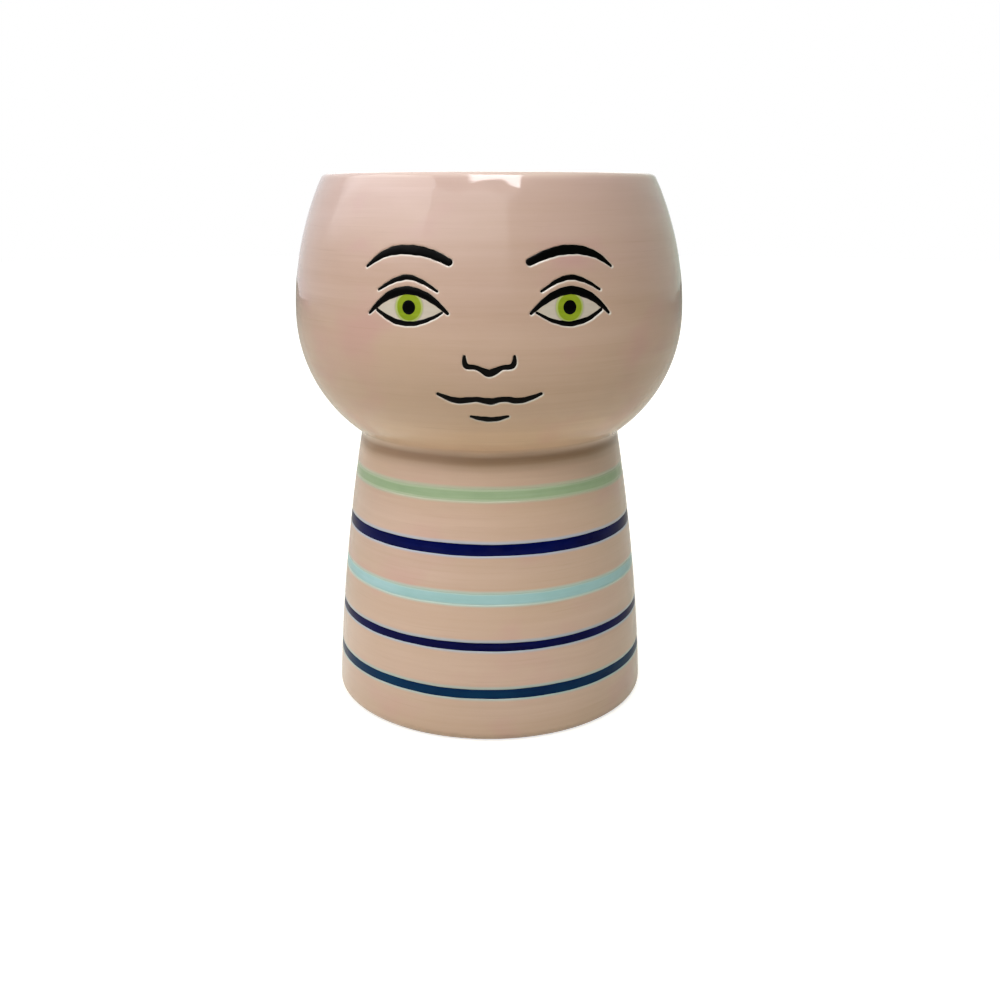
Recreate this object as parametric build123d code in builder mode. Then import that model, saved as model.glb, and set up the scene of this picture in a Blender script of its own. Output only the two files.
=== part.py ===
from build123d import *
import os
from math import asin, atan, cos, degrees, pi, radians, sin, sqrt, tan

# A ceramic vase shaped as a head on a banded neck.
# It stands on its foot ring at Z = 0 around the Z axis, and its face looks along -Y.
# Left and right are the face's own, so its left eye is towards +X.

# Head: its side is two stretches of ellipses that meet upright at the widest point,
# each going through its own angle from there
overall_height = 192.3
wide_radius = 70.0
wide_height = 144.0
rim_radius = 58.5
lower_side_angle = 55.16
upper_side_angle = 26.79
wall = 5.0
lip_rounding_share = 0.9736
throat_rounding = 2.0

# Neck
neck_height = 101.5
seam_radius = 47.8
foot_radius = 59.3
neck_bulge = 1.65
floor_thickness = 6.0
floor_rounding = 8.0

# Foot ring, which is cut free of glaze and stands on the table
foot_rounding = 3.5
foot_ring_width = 6.5
foot_recess = 2.0
recess_slope_width = 1.5

# Seat of the head's collar in the neck, where slip fills the gap
collar_depth = 3.0
collar_share = 0.5
slip_gap = 0.3

# Bands of coloured glaze round the neck, from the foot up
band_groove_depth = 0.8
band_recess = 0.25
teal_band_width = 3.4
thin_navy_band_width = 2.9
aqua_band_width = 3.7
navy_band_width = 4.0
sage_band_width = 4.0
band_height_shares = (0.177, 0.345, 0.510, 0.678, 0.861)

# Face: grooves in the head's skin, filled with glaze
stroke_groove_depth = 0.9
stroke_recess = 0.25
eye_width = 23.0
eye_gap = 27.0
eye_line_share = 0.545
nose_line_share = 0.350
mouth_line_share = 0.239
upper_lid_thickness = 2.7
lower_lid_thickness = 1.7
lid_crease_thickness = 1.6
brow_thickness = 2.9
iris_radius = 4.7
pupil_radius = 2.2
iris_rise_share = 0.039
lid_arch_share = 0.245
lid_sag_share = 0.170
nose_width = 15.6
nose_thickness = 2.5
mouth_width = 32.8
mouth_thickness = 2.4
lower_lip_thickness = 1.9

# How far a cutting shape runs past the surface that it cuts
overrun = 1.0

# Strokes as points of a centre line: across, up and thickness, each a share.
# The first two follow the feature's width and the third its thickness. An eye's
# points run from the nose outwards.
brow_shares = (
    (-0.539, 0.635, 0.79),
    (-0.239, 0.752, 0.97),
    (0.087, 0.787, 1.00),
    (0.417, 0.722, 0.76),
    (0.678, 0.557, 0.28),
)
lid_crease_shares = (
    (-0.400, 0.257, 0.50),
    (0.017, 0.430, 1.00),
    (0.470, 0.257, 0.50),
)
upper_lid_shares = (
    (-0.548, -0.030, 0.37),
    (-0.348, 0.135, 0.74),
    (0.000, 0.257, 1.00),
    (0.357, 0.152, 0.85),
    (0.617, -0.061, 0.33),
)
lower_lid_shares = (
    (-0.470, -0.022, 0.47),
    (-0.252, -0.130, 0.76),
    (0.017, -0.178, 1.00),
    (0.278, -0.126, 0.94),
    (0.487, -0.013, 0.65),
)
nose_shares = (
    (-0.500, 0.250, 0.40),
    (-0.462, 0.058, 0.76),
    (-0.263, 0.026, 0.64),
    (0.000, -0.090, 1.00),
    (0.263, 0.026, 0.64),
    (0.462, 0.058, 0.76),
    (0.500, 0.250, 0.40),
)
mouth_shares = (
    (-0.500, 0.046, 0.46),
    (-0.274, -0.018, 0.88),
    (-0.110, -0.003, 0.79),
    (0.000, -0.024, 1.00),
    (0.110, -0.003, 0.79),
    (0.274, -0.018, 0.88),
    (0.500, 0.046, 0.46),
)
lower_lip_shares = (
    (-0.183, -0.189, 0.47),
    (0.000, -0.220, 1.00),
    (0.183, -0.189, 0.47),
)


# Half-width and half-height of the ellipse under and over the widest point: the side
# reaches the seam and the rim just as it has gone through its angle
lower_half_width = (wide_radius - seam_radius) / (1 - cos(radians(lower_side_angle)))
lower_half_height = (wide_height - neck_height) / sin(radians(lower_side_angle))
upper_half_width = (wide_radius - rim_radius) / (1 - cos(radians(upper_side_angle)))
upper_half_height = (overall_height - wide_height) / sin(radians(upper_side_angle))

# The neck's side is one shallow arc from the foot to the seam
neck_side = ThreePointArc(
    (foot_radius, 0),
    ((foot_radius + seam_radius) / 2 + neck_bulge, neck_height / 2),
    (seam_radius, neck_height),
)


def half_sizes(height):
    """Half-width and half-height of the ellipse that the head follows at a height."""
    if height < wide_height:
        return lower_half_width, lower_half_height
    return upper_half_width, upper_half_height


def head_radius_at(height, depth=0):
    """Radius of the head at a height, at a depth below its surface."""
    half_width, half_height = half_sizes(height)
    climb = (height - wide_height) / (half_height - depth)
    return wide_radius - half_width + (half_width - depth) * sqrt(1 - climb**2)


def neck_radius_at(height, depth=0):
    """Radius of the neck at a height, at a depth below its surface."""
    centre = neck_side.arc_center
    return centre.X + sqrt((neck_side.radius - depth) ** 2 - (height - centre.Y) ** 2)


def head_lean_at(height, depth=0):
    """How far the head's side leans in at a height, in radians."""
    half_width, half_height = half_sizes(height)
    angle = asin((height - wide_height) / (half_height - depth))
    return atan((half_width - depth) / (half_height - depth) * tan(angle))


def head_side(bottom, top, depth=0):
    """Draw the head's side between two heights and return its two ends."""
    ends = []
    for height in (bottom, top):
        _, half_height = half_sizes(height)
        angle = asin((height - wide_height) / (half_height - depth))
        # A curve of three poles is an exact arc of an ellipse when the middle one has this weight
        corner_height = wide_height + (half_height - depth) * tan(angle / 2)
        end = (head_radius_at(height, depth), height)
        Bezier(
            (wide_radius - depth, wide_height),
            (wide_radius - depth, corner_height),
            end,
            weights=[1, cos(angle / 2), 1],
        )
        ends.append(end)
    return ends


# The lip's rounding is a share of the largest one that its two corners have room for
lip_width = rim_radius - head_radius_at(overall_height, wall)
outer_corner_room = tan(pi / 4 - head_lean_at(overall_height) / 2)
inner_corner_room = tan(pi / 4 + head_lean_at(overall_height, wall) / 2)
lip_rounding = lip_rounding_share * lip_width / (outer_corner_room + inner_corner_room)

# The collar under the head stands in a rebate in the neck's mouth
rebate_height = neck_height - collar_depth - slip_gap
throat_radius = neck_radius_at(rebate_height, wall)
collar_radius = throat_radius + collar_share * (seam_radius - throat_radius)
throat_reach = (throat_radius - wide_radius + lower_half_width) / (lower_half_width - wall)
throat_height = wide_height - (lower_half_height - wall) * sqrt(1 - throat_reach**2)

# Each band has a name, a height and a width
band_names = ("teal_band", "thin_navy_band", "aqua_band", "navy_band", "sage_band")
band_widths = (
    teal_band_width,
    thin_navy_band_width,
    aqua_band_width,
    navy_band_width,
    sage_band_width,
)
bands = tuple(
    (name, height_share * neck_height, width)
    for name, height_share, width in zip(band_names, band_height_shares, band_widths)
)


def band_outline(height, width, outer_depth):
    """Draw a band's section from the bottom of its groove to a depth."""
    bottom = height - width / 2
    top = height + width / 2
    Polyline(
        (neck_radius_at(bottom, band_groove_depth), bottom),
        (neck_radius_at(bottom, outer_depth), bottom),
        (neck_radius_at(top, outer_depth), top),
        (neck_radius_at(top, band_groove_depth), top),
        close=True,
    )


# The face's lines: heights on the head, and the eyes' turn away from the front
face_height = overall_height - neck_height
eye_height = neck_height + eye_line_share * face_height
nose_height = neck_height + nose_line_share * face_height
mouth_height = neck_height + mouth_line_share * face_height
eye_turn = degrees(asin((eye_width + eye_gap) / 2 / head_radius_at(eye_height)))
reach = wide_radius + overrun


def face_plane(turn):
    """Upright plane through the vase's axis that looks out, turned from the front to +X."""
    across = (cos(radians(turn)), sin(radians(turn)), 0)
    outward = (sin(radians(turn)), -cos(radians(turn)), 0)
    return Plane(origin=(0, 0, 0), x_dir=across, z_dir=outward)


def stroke(plane, shares, length, thickness, height, side=1):
    """Sketch a brush stroke with round ends along a centre line given in shares."""
    points = [(side * across * length, height + up * length) for across, up, _ in shares]
    upper = []
    lower = []
    with BuildSketch(plane) as outline:
        with BuildLine():
            centre_line = Spline(*points, mode=Mode.PRIVATE)
            for point, (_, _, thickness_share) in zip(points, shares):
                way = centre_line.tangent_at(centre_line.param_at_point(point))
                half_thickness = way.rotate(Axis.Z, 90) * (thickness * thickness_share / 2)
                upper.append(Vector(*point) + half_thickness)
                lower.append(Vector(*point) - half_thickness)
            start_way = centre_line % 0
            end_way = centre_line % 1
            start_tip = Vector(*points[0]) - start_way * (upper[0] - lower[0]).length / 2
            end_tip = Vector(*points[-1]) + end_way * (upper[-1] - lower[-1]).length / 2
            Spline(*upper, tangents=(start_way, end_way))
            Spline(*lower, tangents=(start_way, end_way))
            ThreePointArc(lower[0], start_tip, upper[0])
            ThreePointArc(upper[-1], end_tip, lower[-1])
        make_face()
    return outline


def eye_shapes(name, side):
    """Sketch one eye's fills on its own plane. Side is 1 for the left eye and -1 for the right."""
    plane = face_plane(side * eye_turn)
    brow = stroke(plane, brow_shares, eye_width, brow_thickness, eye_height, side)
    lid_crease = stroke(
        plane, lid_crease_shares, eye_width, lid_crease_thickness, eye_height, side
    )
    upper_lid = stroke(plane, upper_lid_shares, eye_width, upper_lid_thickness, eye_height, side)
    lower_line = stroke(plane, lower_lid_shares, eye_width, lower_lid_thickness, eye_height, side)
    with BuildSketch(plane) as lower_lid:
        add(lower_line.sketch_local)
        add(upper_lid.sketch_local, mode=Mode.SUBTRACT)
    with BuildSketch(plane) as opening:
        inner_corner = (-eye_width / 2, eye_height)
        outer_corner = (eye_width / 2, eye_height)
        with BuildLine():
            ThreePointArc(inner_corner, (0, eye_height + lid_arch_share * eye_width), outer_corner)
            ThreePointArc(outer_corner, (0, eye_height - lid_sag_share * eye_width), inner_corner)
        make_face()
        add(upper_lid.sketch_local, mode=Mode.SUBTRACT)
        add(lower_line.sketch_local, mode=Mode.SUBTRACT)
    iris_height = eye_height + iris_rise_share * eye_width
    with BuildSketch(plane) as iris:
        add(opening.sketch_local)
        with Locations((0, iris_height)):
            Circle(iris_radius, mode=Mode.INTERSECT)
            Circle(pupil_radius, mode=Mode.SUBTRACT)
    with BuildSketch(plane) as pupil:
        with Locations((0, iris_height)):
            Circle(pupil_radius)
    whites = {}
    for white_side, white_name in ((side, "outer_white"), (-side, "inner_white")):
        with BuildSketch(plane) as white:
            add(opening.sketch_local)
            with Locations((white_side * eye_width / 2, eye_height)):
                Rectangle(eye_width, eye_width, mode=Mode.INTERSECT)
            with Locations((0, iris_height)):
                Circle(iris_radius, mode=Mode.SUBTRACT)
        whites[f"{name}_{white_name}"] = white.sketch
    return {
        f"{name}_brow": brow.sketch,
        f"{name}_lid_crease": lid_crease.sketch,
        f"{name}_upper_lid": upper_lid.sketch,
        f"{name}_lower_lid": lower_lid.sketch,
        **whites,
        f"{name}_iris": iris.sketch,
        f"{name}_pupil": pupil.sketch,
    }


front = face_plane(0)
nose = stroke(front, nose_shares, nose_width, nose_thickness, nose_height)
mouth = stroke(front, mouth_shares, mouth_width, mouth_thickness, mouth_height)
lower_lip = stroke(front, lower_lip_shares, mouth_width, lower_lip_thickness, mouth_height)
face_shapes = {
    **eye_shapes("left", 1),
    **eye_shapes("right", -1),
    "nose_line": nose.sketch,
    "mouth_line": mouth.sketch,
    "lower_lip_line": lower_lip.sketch,
}


def skin(outer_depth):
    """A layer of the head from a depth down to the bottom of the face's grooves."""
    with BuildPart() as layer:
        with BuildSketch(Plane.XZ):
            with BuildLine():
                outer_ends = head_side(neck_height, overall_height, outer_depth)
                inner_ends = head_side(neck_height, overall_height, stroke_groove_depth)
                Line(outer_ends[0], inner_ends[0])
                Line(outer_ends[1], inner_ends[1])
            make_face()
        revolve(axis=Axis.Z)
    return layer.part


groove_skin = skin(-overrun)
fill_skin = skin(stroke_recess)

with BuildPart() as face_grooves:
    for shape in face_shapes.values():
        extrude(shape, amount=reach)
    add(groove_skin, mode=Mode.INTERSECT)

os.makedirs("parts", exist_ok=True)

# Head: a bowl with a rounded lip, and a collar under it
with BuildPart() as head_bowl:
    with BuildSketch(Plane.XZ):
        with BuildLine():
            outside = head_side(neck_height, overall_height)
            inside = head_side(throat_height, overall_height, wall)
            Line(outside[1], inside[1])
            Polyline(
                inside[0],
                (throat_radius, neck_height - collar_depth),
                (collar_radius, neck_height - collar_depth),
                (collar_radius, neck_height),
                outside[0],
            )
        make_face()
        fillet(vertices().group_by(Axis.Y)[-1], lip_rounding)
        throat_corner = vertices().sort_by_distance((throat_radius, throat_height))[0]
        fillet(throat_corner, throat_rounding)
    revolve(axis=Axis.Z)
    add(face_grooves.part, mode=Mode.SUBTRACT)
head_bowl.part.label = "head_bowl"
export_step(head_bowl.part, "parts/head_bowl.step")

# Neck: a hollow shell with a floor, a recessed foot, and a rebate for the collar
with BuildPart() as neck_body:
    floor_height = foot_recess + floor_thickness
    middle_height = (floor_height + rebate_height) / 2
    ring_radius = foot_radius - foot_rounding - foot_ring_width
    rebate_radius = collar_radius + slip_gap
    with BuildSketch(Plane.XZ):
        with BuildLine():
            add(neck_side)
            Polyline(
                (seam_radius, neck_height),
                (rebate_radius, neck_height),
                (rebate_radius, rebate_height),
                (throat_radius, rebate_height),
            )
            ThreePointArc(
                (throat_radius, rebate_height),
                (neck_radius_at(middle_height, wall), middle_height),
                (neck_radius_at(floor_height, wall), floor_height),
            )
            Polyline(
                (neck_radius_at(floor_height, wall), floor_height),
                (0, floor_height),
                (0, foot_recess),
                (ring_radius - recess_slope_width, foot_recess),
                (ring_radius, 0),
                (foot_radius, 0),
            )
        make_face()
        fillet(vertices().sort_by_distance((foot_radius, 0))[0], foot_rounding)
        floor_corner = (neck_radius_at(floor_height, wall), floor_height)
        fillet(vertices().sort_by_distance(floor_corner)[0], floor_rounding)
    revolve(axis=Axis.Z)
    for _, band_height, band_width in bands:
        with BuildSketch(Plane.XZ):
            with BuildLine():
                band_outline(band_height, band_width, -overrun)
            make_face()
        revolve(axis=Axis.Z, mode=Mode.SUBTRACT)
neck_body.part.label = "neck_body"
export_step(neck_body.part, "parts/neck_body.step")

# Bands: rings of coloured glaze that lie just under the neck's surface
for band_name, band_height, band_width in bands:
    with BuildPart() as band:
        with BuildSketch(Plane.XZ):
            with BuildLine():
                band_outline(band_height, band_width, band_recess)
            make_face()
        revolve(axis=Axis.Z)
    band.part.label = band_name
    export_step(band.part, f"parts/{band_name}.step")

# Face: fills of glaze that lie just under the head's surface
for fill_name, shape in face_shapes.items():
    with BuildPart() as glaze_fill:
        extrude(shape, amount=reach)
        add(fill_skin, mode=Mode.INTERSECT)
    glaze_fill.part.label = fill_name
    export_step(glaze_fill.part, f"parts/{fill_name}.step")
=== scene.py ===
from math import asin, cos, pi, radians, sin, sqrt

import bmesh
import bpy
import numpy as np
from mathutils import Matrix, Vector
from mathutils.geometry import delaunay_2d_cdt


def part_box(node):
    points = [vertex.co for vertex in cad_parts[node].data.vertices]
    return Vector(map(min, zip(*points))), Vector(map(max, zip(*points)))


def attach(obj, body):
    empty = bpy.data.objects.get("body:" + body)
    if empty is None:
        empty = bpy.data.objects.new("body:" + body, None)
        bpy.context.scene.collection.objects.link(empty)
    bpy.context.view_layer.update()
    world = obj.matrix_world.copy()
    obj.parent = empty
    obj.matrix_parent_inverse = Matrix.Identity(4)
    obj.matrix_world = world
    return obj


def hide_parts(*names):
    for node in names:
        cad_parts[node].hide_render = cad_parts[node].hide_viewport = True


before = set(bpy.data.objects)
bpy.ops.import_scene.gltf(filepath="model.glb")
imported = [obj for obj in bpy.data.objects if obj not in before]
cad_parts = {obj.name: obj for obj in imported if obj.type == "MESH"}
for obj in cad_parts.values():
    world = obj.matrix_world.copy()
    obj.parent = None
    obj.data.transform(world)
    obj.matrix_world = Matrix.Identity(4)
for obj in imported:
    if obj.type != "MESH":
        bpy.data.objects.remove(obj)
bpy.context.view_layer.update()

# Sizes are in millimetres and become metres when a mesh is made.
# The vase stands around the Z axis, its face looks along -Y, and its left eye is towards +X.
MM = 0.001
_, head_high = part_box("head_bowl")
_, neck_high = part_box("neck_body")
overall_height = head_high.z / MM
neck_height = neck_high.z / MM
wide_radius = head_high.x / MM

# Head
wide_height = 144.0
rim_radius = 58.5
seam_radius = 47.8
wall = 5.0
lip_rounding = 2.4
throat_rounding = 2.0
crease_rounding = 3.2

# Points of the throat's corner, out and up in shares of its rounding, and where they start
throat_corner_shares = ((0.35, 0.55), (0.08, -0.10), (0.00, -0.70))
throat_top_share = 1.5

# Neck and foot ring
foot_radius = 59.3
neck_bulge = 1.65
floor_thickness = 6.0
floor_rounding = 8.0
foot_rounding = 3.5
foot_ring_width = 6.5
foot_recess = 2.0
recess_slope_width = 1.5
recess_edge_width = 0.3
recess_edge_height = 0.25
hub_radius = 0.3
collar_depth = 3.0
collar_share = 0.5
slip_gap = 0.3

# The hand's unevenness, as waves round the vase: size, count, turn per millimetre of height
# and phase. The lip has waves of its own and a drip.
throwing_waves = ((0.07, 2, 0.0, 0.9), (0.05, 3, 1 / 31, 0.0), (0.03, 5, -1 / 17, 2.0))
lip_waves = ((0.045, 16, 1 / 2.3, 0.0), (0.03, 27, -1 / 1.7, 0.0))
lip_waves_start = 180.0
lip_waves_rise = 7.0
drip_size = 0.22
drip_azimuth = 0.155
drip_half_angle = 0.035
drip_height = 187.0
drip_half_height = 2.6

# Bands from the foot up: node, height as a share of the neck's, width, and the pale
# glaze at their edges
bands = (
    ("teal_band", 0.177, 3.4, (0.44, 0.56, 0.53)),
    ("thin_navy_band", 0.345, 2.9, (0.45, 0.52, 0.60)),
    ("aqua_band", 0.510, 3.7, (0.52, 0.66, 0.58)),
    ("navy_band", 0.678, 4.0, (0.48, 0.53, 0.64)),
    ("sage_band", 0.861, 4.0, (0.56, 0.58, 0.42)),
)

# How a band's painted edge strays, as waves round the vase: size and count
band_waves = ((0.05, 3), (0.04, 7), (0.03, 13), (0.02, 29))

# Beside a band: distance from its edge, depth of the clay and how pale the glaze is
above_band = ((0.0, 0.15, 1.0), (0.12, 0.06, 1.0), (0.4, 0.02, 1.0), (0.8, 0.0, 0.7), (1.4, 0.0, 0.0))
below_band = ((0.0, 0.15, 1.0), (0.12, 0.06, 1.0), (0.35, 0.02, 0.9), (0.65, 0.0, 0.4), (1.1, 0.0, 0.0))

# In a band's groove: distance from its edge and depth of the clay
in_band = ((0.1, 0.60), (0.3, 0.65))

# Face: sizes, heights as shares of the head's height, and the eyes' inner shapes
eye_width = 23.0
eye_gap = 27.0
eye_line_share = 0.545
nose_line_share = 0.350
mouth_line_share = 0.239
iris_radius = 4.7
iris_overlap = 0.1
pupil_radius = 2.2
iris_rise_share = 0.039
lid_arch_share = 0.245
lid_sag_share = 0.170
nose_width = 15.6
mouth_width = 32.8

# Strokes: thickness, and the points of a centre line as across, up and thickness, each a
# share. The first two follow the feature's width and the third the stroke's thickness. An
# eye's points run from the nose outwards.
strokes = {
    "brow": (2.9, (
        (-0.539, 0.635, 0.79), (-0.239, 0.752, 0.97), (0.087, 0.787, 1.00),
        (0.417, 0.722, 0.76), (0.678, 0.557, 0.28),
    )),
    "lid_crease": (1.6, ((-0.400, 0.257, 0.50), (0.017, 0.430, 1.00), (0.470, 0.257, 0.50))),
    "upper_lid": (2.7, (
        (-0.548, -0.030, 0.37), (-0.348, 0.135, 0.74), (0.000, 0.257, 1.00),
        (0.357, 0.152, 0.85), (0.617, -0.061, 0.33),
    )),
    "lower_lid": (1.7, (
        (-0.470, -0.022, 0.47), (-0.252, -0.130, 0.76), (0.017, -0.178, 1.00),
        (0.278, -0.126, 0.94), (0.487, -0.013, 0.65),
    )),
    "nose_line": (2.5, (
        (-0.500, 0.250, 0.40), (-0.462, 0.058, 0.76), (-0.263, 0.026, 0.64), (0.000, -0.090, 1.00),
        (0.263, 0.026, 0.64), (0.462, 0.058, 0.76), (0.500, 0.250, 0.40),
    )),
    "mouth_line": (2.4, (
        (-0.500, 0.046, 0.46), (-0.274, -0.018, 0.88), (-0.110, -0.003, 0.79), (0.000, -0.024, 1.00),
        (0.110, -0.003, 0.79), (0.274, -0.018, 0.88), (0.500, 0.046, 0.46),
    )),
    "lower_lip_line": (1.9, ((-0.183, -0.189, 0.47), (0.000, -0.220, 1.00), (0.183, -0.189, 0.47))),
}

# Where the random draws of each group of strokes start, and the step between its strokes
left_eye_seed = 100
right_eye_seed = 200
middle_seed = 300
seed_step = 10

# How the clay sinks at a groove: distance outside the fill's edge, and depth there
groove_offsets = (-0.30, -0.10, 0.00, 0.12, 0.30, 0.60)
groove_depths = (0.65, 0.60, 0.24, 0.10, 0.03, 0.00)

# Fills: each kind's material, depth of its edge and how far its surface swells, and the
# distances inside the edge at which the surface has points
fill_bottom = 0.62
fill_kinds = {
    "stroke": ("black_glaze", 0.30, 0.20),
    "white": ("pale_glaze", 0.36, 0.08),
    "iris": ("lime_glaze", 0.32, 0.10),
    "pupil": ("black_glaze", 0.20, 0.12),
}
fill_insets = (0.1, 0.25, 0.5, 0.9, 1.6, 2.6)
band_edge_depth = 0.13
band_swelling = 0.08
band_insets = (0.0, 0.1, 0.25, 0.5, 0.9)

# The pale line of bare slip along a groove, made wider and stronger on the side that faces the lower
# right as a painted highlight of its shoulder
groove_edge_and_highlight_colour = (0.80, 0.74, 0.66)
highlight_side_way = np.array((0.6, -0.8))
pale_edge_reach = 0.20
pale_edge_reach_change = 0.16
pale_edge_fade = (0.6, 1.6)
narrow_side_share = 0.5

# How far the slip has turned into the inside's in the lip's last rows
lip_turn = (0.4, 0.4, 0.4, 0.8, 0.8, 0.8)

# Steps of the meshes
columns = 256
head_row_step = 1.6
neck_row_step = 2.2
outline_step = 0.3
least_cap_points = 6
cut_tolerance = 1e-5

# The part of the head that carries the face: columns beside the middle and heights
face_columns = 34
face_first = columns // 2 - face_columns
face_last = columns // 2 + face_columns
face_bottom = 111.0
face_top = 176.0
clear_of_grooves = 1.0

# Shape of the sides, each an arc of a circle


def arc_radius(inset, rise):
    """Radius of an arc that is upright at one end and moves in by inset over its rise."""
    return (inset**2 + rise**2) / (2 * inset)


lower_side_radius = arc_radius(wide_radius - seam_radius, wide_height - neck_height)
upper_side_radius = arc_radius(wide_radius - rim_radius, overall_height - wide_height)


def head_radius(height, depth=0.0):
    """Radius of the head at a height, at a depth below its surface."""
    height = np.asarray(height, float)
    side = np.where(height < wide_height, lower_side_radius, upper_side_radius)
    return wide_radius - side + np.sqrt((side - depth) ** 2 - (height - wide_height) ** 2)


def circle_through(first, second, third):
    """Centre and radius of the circle through three points."""
    (ax, ay), (bx, by), (cx, cy) = first, second, third
    double_area = 2 * (ax * (by - cy) + bx * (cy - ay) + cx * (ay - by))
    a2, b2, c2 = ax**2 + ay**2, bx**2 + by**2, cx**2 + cy**2
    x = (a2 * (by - cy) + b2 * (cy - ay) + c2 * (ay - by)) / double_area
    y = (a2 * (cx - bx) + b2 * (ax - cx) + c2 * (bx - ax)) / double_area
    return x, y, sqrt((ax - x) ** 2 + (ay - y) ** 2)


neck_centre_radius, neck_centre_height, neck_side_radius = circle_through(
    (foot_radius, 0),
    ((foot_radius + seam_radius) / 2 + neck_bulge, neck_height / 2),
    (seam_radius, neck_height),
)


def neck_radius(height, depth=0.0):
    """Radius of the neck at a height, at a depth below its surface."""
    height = np.asarray(height, float)
    across = np.sqrt((neck_side_radius - depth) ** 2 - (height - neck_centre_height) ** 2)
    return neck_centre_radius + across


def wave_sum(waves, azimuth, height):
    return sum(
        size * np.sin(count * azimuth + turn * height + phase)
        for size, count, turn, phase in waves
    )


def throwing(azimuth, height):
    """How far the hand-made surface stands off the true round one."""
    near_lip = np.clip((height - lip_waves_start) / lip_waves_rise, 0, 1)
    drip_across = (azimuth - drip_azimuth) / drip_half_angle
    drip_up = (height - drip_height) / drip_half_height
    drip = drip_size * np.exp(-(drip_across**2) - drip_up**2)
    lumps = near_lip * wave_sum(lip_waves, azimuth, height)
    return wave_sum(throwing_waves, azimuth, height) + lumps + drip


def place(azimuth, height, radius):
    """Points in space, from azimuths away from the front to +X, heights and true radii."""
    radius = radius + throwing(azimuth, height)
    return np.stack([radius * np.sin(azimuth), -radius * np.cos(azimuth), height], -1)


def arc(centre, radius, start, end, count):
    """Points of an arc, from a start angle to an end angle in degrees."""
    angles = np.radians(np.linspace(start, end, count))
    return [(centre[0] + radius * cos(a), centre[1] + radius * sin(a)) for a in angles]


def bisect(function, low, high, halvings=60):
    """The place between two others where a function changes its sign."""
    for _ in range(halvings):
        middle = (low + high) / 2
        if function(low) * function(middle) <= 0:
            high = middle
        else:
            low = middle
    return (low + high) / 2


# The crease is a rounding that starts on the neck and ends on the head
crease_height = bisect(
    lambda z: float(neck_radius(z, -crease_rounding) - head_radius(z, -crease_rounding)),
    neck_height - crease_rounding,
    neck_height + crease_rounding,
)
crease_centre = (float(neck_radius(crease_height, -crease_rounding)), crease_height)
crease_start = 180 + np.degrees(
    asin((crease_height - neck_centre_height) / (neck_side_radius + crease_rounding))
)
crease_end = 180 + np.degrees(
    asin((crease_height - wide_height) / (lower_side_radius + crease_rounding))
)
seam_angle = 180 - np.degrees(asin((neck_height - crease_height) / crease_rounding))

# Seat of the head's collar in the neck
rebate_height = neck_height - collar_depth - slip_gap
throat_radius = float(neck_radius(rebate_height, wall))
collar_radius = throat_radius + collar_share * (seam_radius - throat_radius)
throat_inset = throat_radius - (wide_radius - lower_side_radius)
throat_height = wide_height - sqrt((lower_side_radius - wall) ** 2 - throat_inset**2)

# Smooth curves and outlines


def natural_spline(knots, values, at):
    """The smooth curve through the values at the knots, read at other places."""
    values = np.asarray(values, float).reshape(len(knots), -1)
    step = np.diff(knots)
    slope = np.diff(values, axis=0) / step[:, None]
    matrix = np.eye(len(knots))
    right = np.zeros_like(values)
    for i in range(1, len(knots) - 1):
        matrix[i, i - 1 : i + 2] = step[i - 1], 2 * (step[i - 1] + step[i]), step[i]
        right[i] = 6 * (slope[i] - slope[i - 1])
    bend = np.linalg.solve(matrix, right)
    i = np.clip(np.searchsorted(knots, at, side="right") - 1, 0, len(step) - 1)
    width = step[i][:, None]
    before = (at - knots[i])[:, None]
    after = width - before
    cubic = (bend[i] * after**3 + bend[i + 1] * before**3) / (6 * width)
    start = (values[i] / width - bend[i] * width / 6) * after
    end = (values[i + 1] / width - bend[i + 1] * width / 6) * before
    return cubic + start + end


def waver(at, seed, size=0.13, lengths=(0.55, 1.1, 2.3)):
    """The unsteadiness of a painted edge, of waves of some lengths: zero at both ends."""
    phases = np.random.default_rng(seed).uniform(0, 2 * pi, len(lengths))
    waves = sum(np.sin(at / w + p) for w, p in zip(lengths, phases)) / len(lengths)
    return size * waves * np.sqrt(np.sin(pi * at / at[-1]).clip(0))


def counterclockwise(outline):
    x, y = outline.T
    area = np.sum(x * np.roll(y, -1) - y * np.roll(x, -1))
    return outline if area > 0 else outline[::-1]


def stroke_outline(name, length, height, side, seed):
    """Outline of a brush stroke with round ends, on its feature's plane."""
    thickness, table = strokes[name]
    table = np.array(table)
    points = np.column_stack([table[:, 0] * length, height + table[:, 1] * length])
    along = np.r_[0, np.cumsum(np.linalg.norm(np.diff(points, axis=0), axis=1))]
    at = np.linspace(0, along[-1], int(along[-1] / outline_step) + 2)
    line = natural_spline(along, points, at)
    half = natural_spline(along, table[:, 2] * thickness / 2, at)[:, 0]
    way = np.gradient(line, at, axis=0)
    way /= np.linalg.norm(way, axis=1)[:, None]
    across = np.column_stack([-way[:, 1], way[:, 0]])
    upper = line + across * (half + waver(at, seed))[:, None]
    lower = line - across * (half + waver(at, seed + 1))[:, None]
    ends = []
    for i, sign in ((-1, 1), (0, -1)):
        count = max(least_cap_points, int(pi * half[i] / outline_step) + 2)
        turn = np.linspace(pi / 2, -pi / 2, count)[1:-1]
        cap = np.outer(np.cos(turn), way[i]) + np.outer(np.sin(turn), across[i])
        ends.append(line[i] + half[i] * cap * sign)
    outline = np.vstack([upper, ends[0], lower[::-1], ends[1]])
    return counterclockwise(outline * (side, 1))


def bow(across, half_width, rise):
    """Height of a shallow arc over its chord."""
    radius = (half_width**2 + rise**2) / (2 * rise)
    return np.sqrt(radius**2 - across**2) - (radius - rise)


def circle(centre, radius):
    count = int(2 * pi * radius / outline_step)
    angles = np.linspace(0, 2 * pi, count, endpoint=False)
    return np.column_stack([centre[0] + radius * np.cos(angles), centre[1] + radius * np.sin(angles)])


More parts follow.
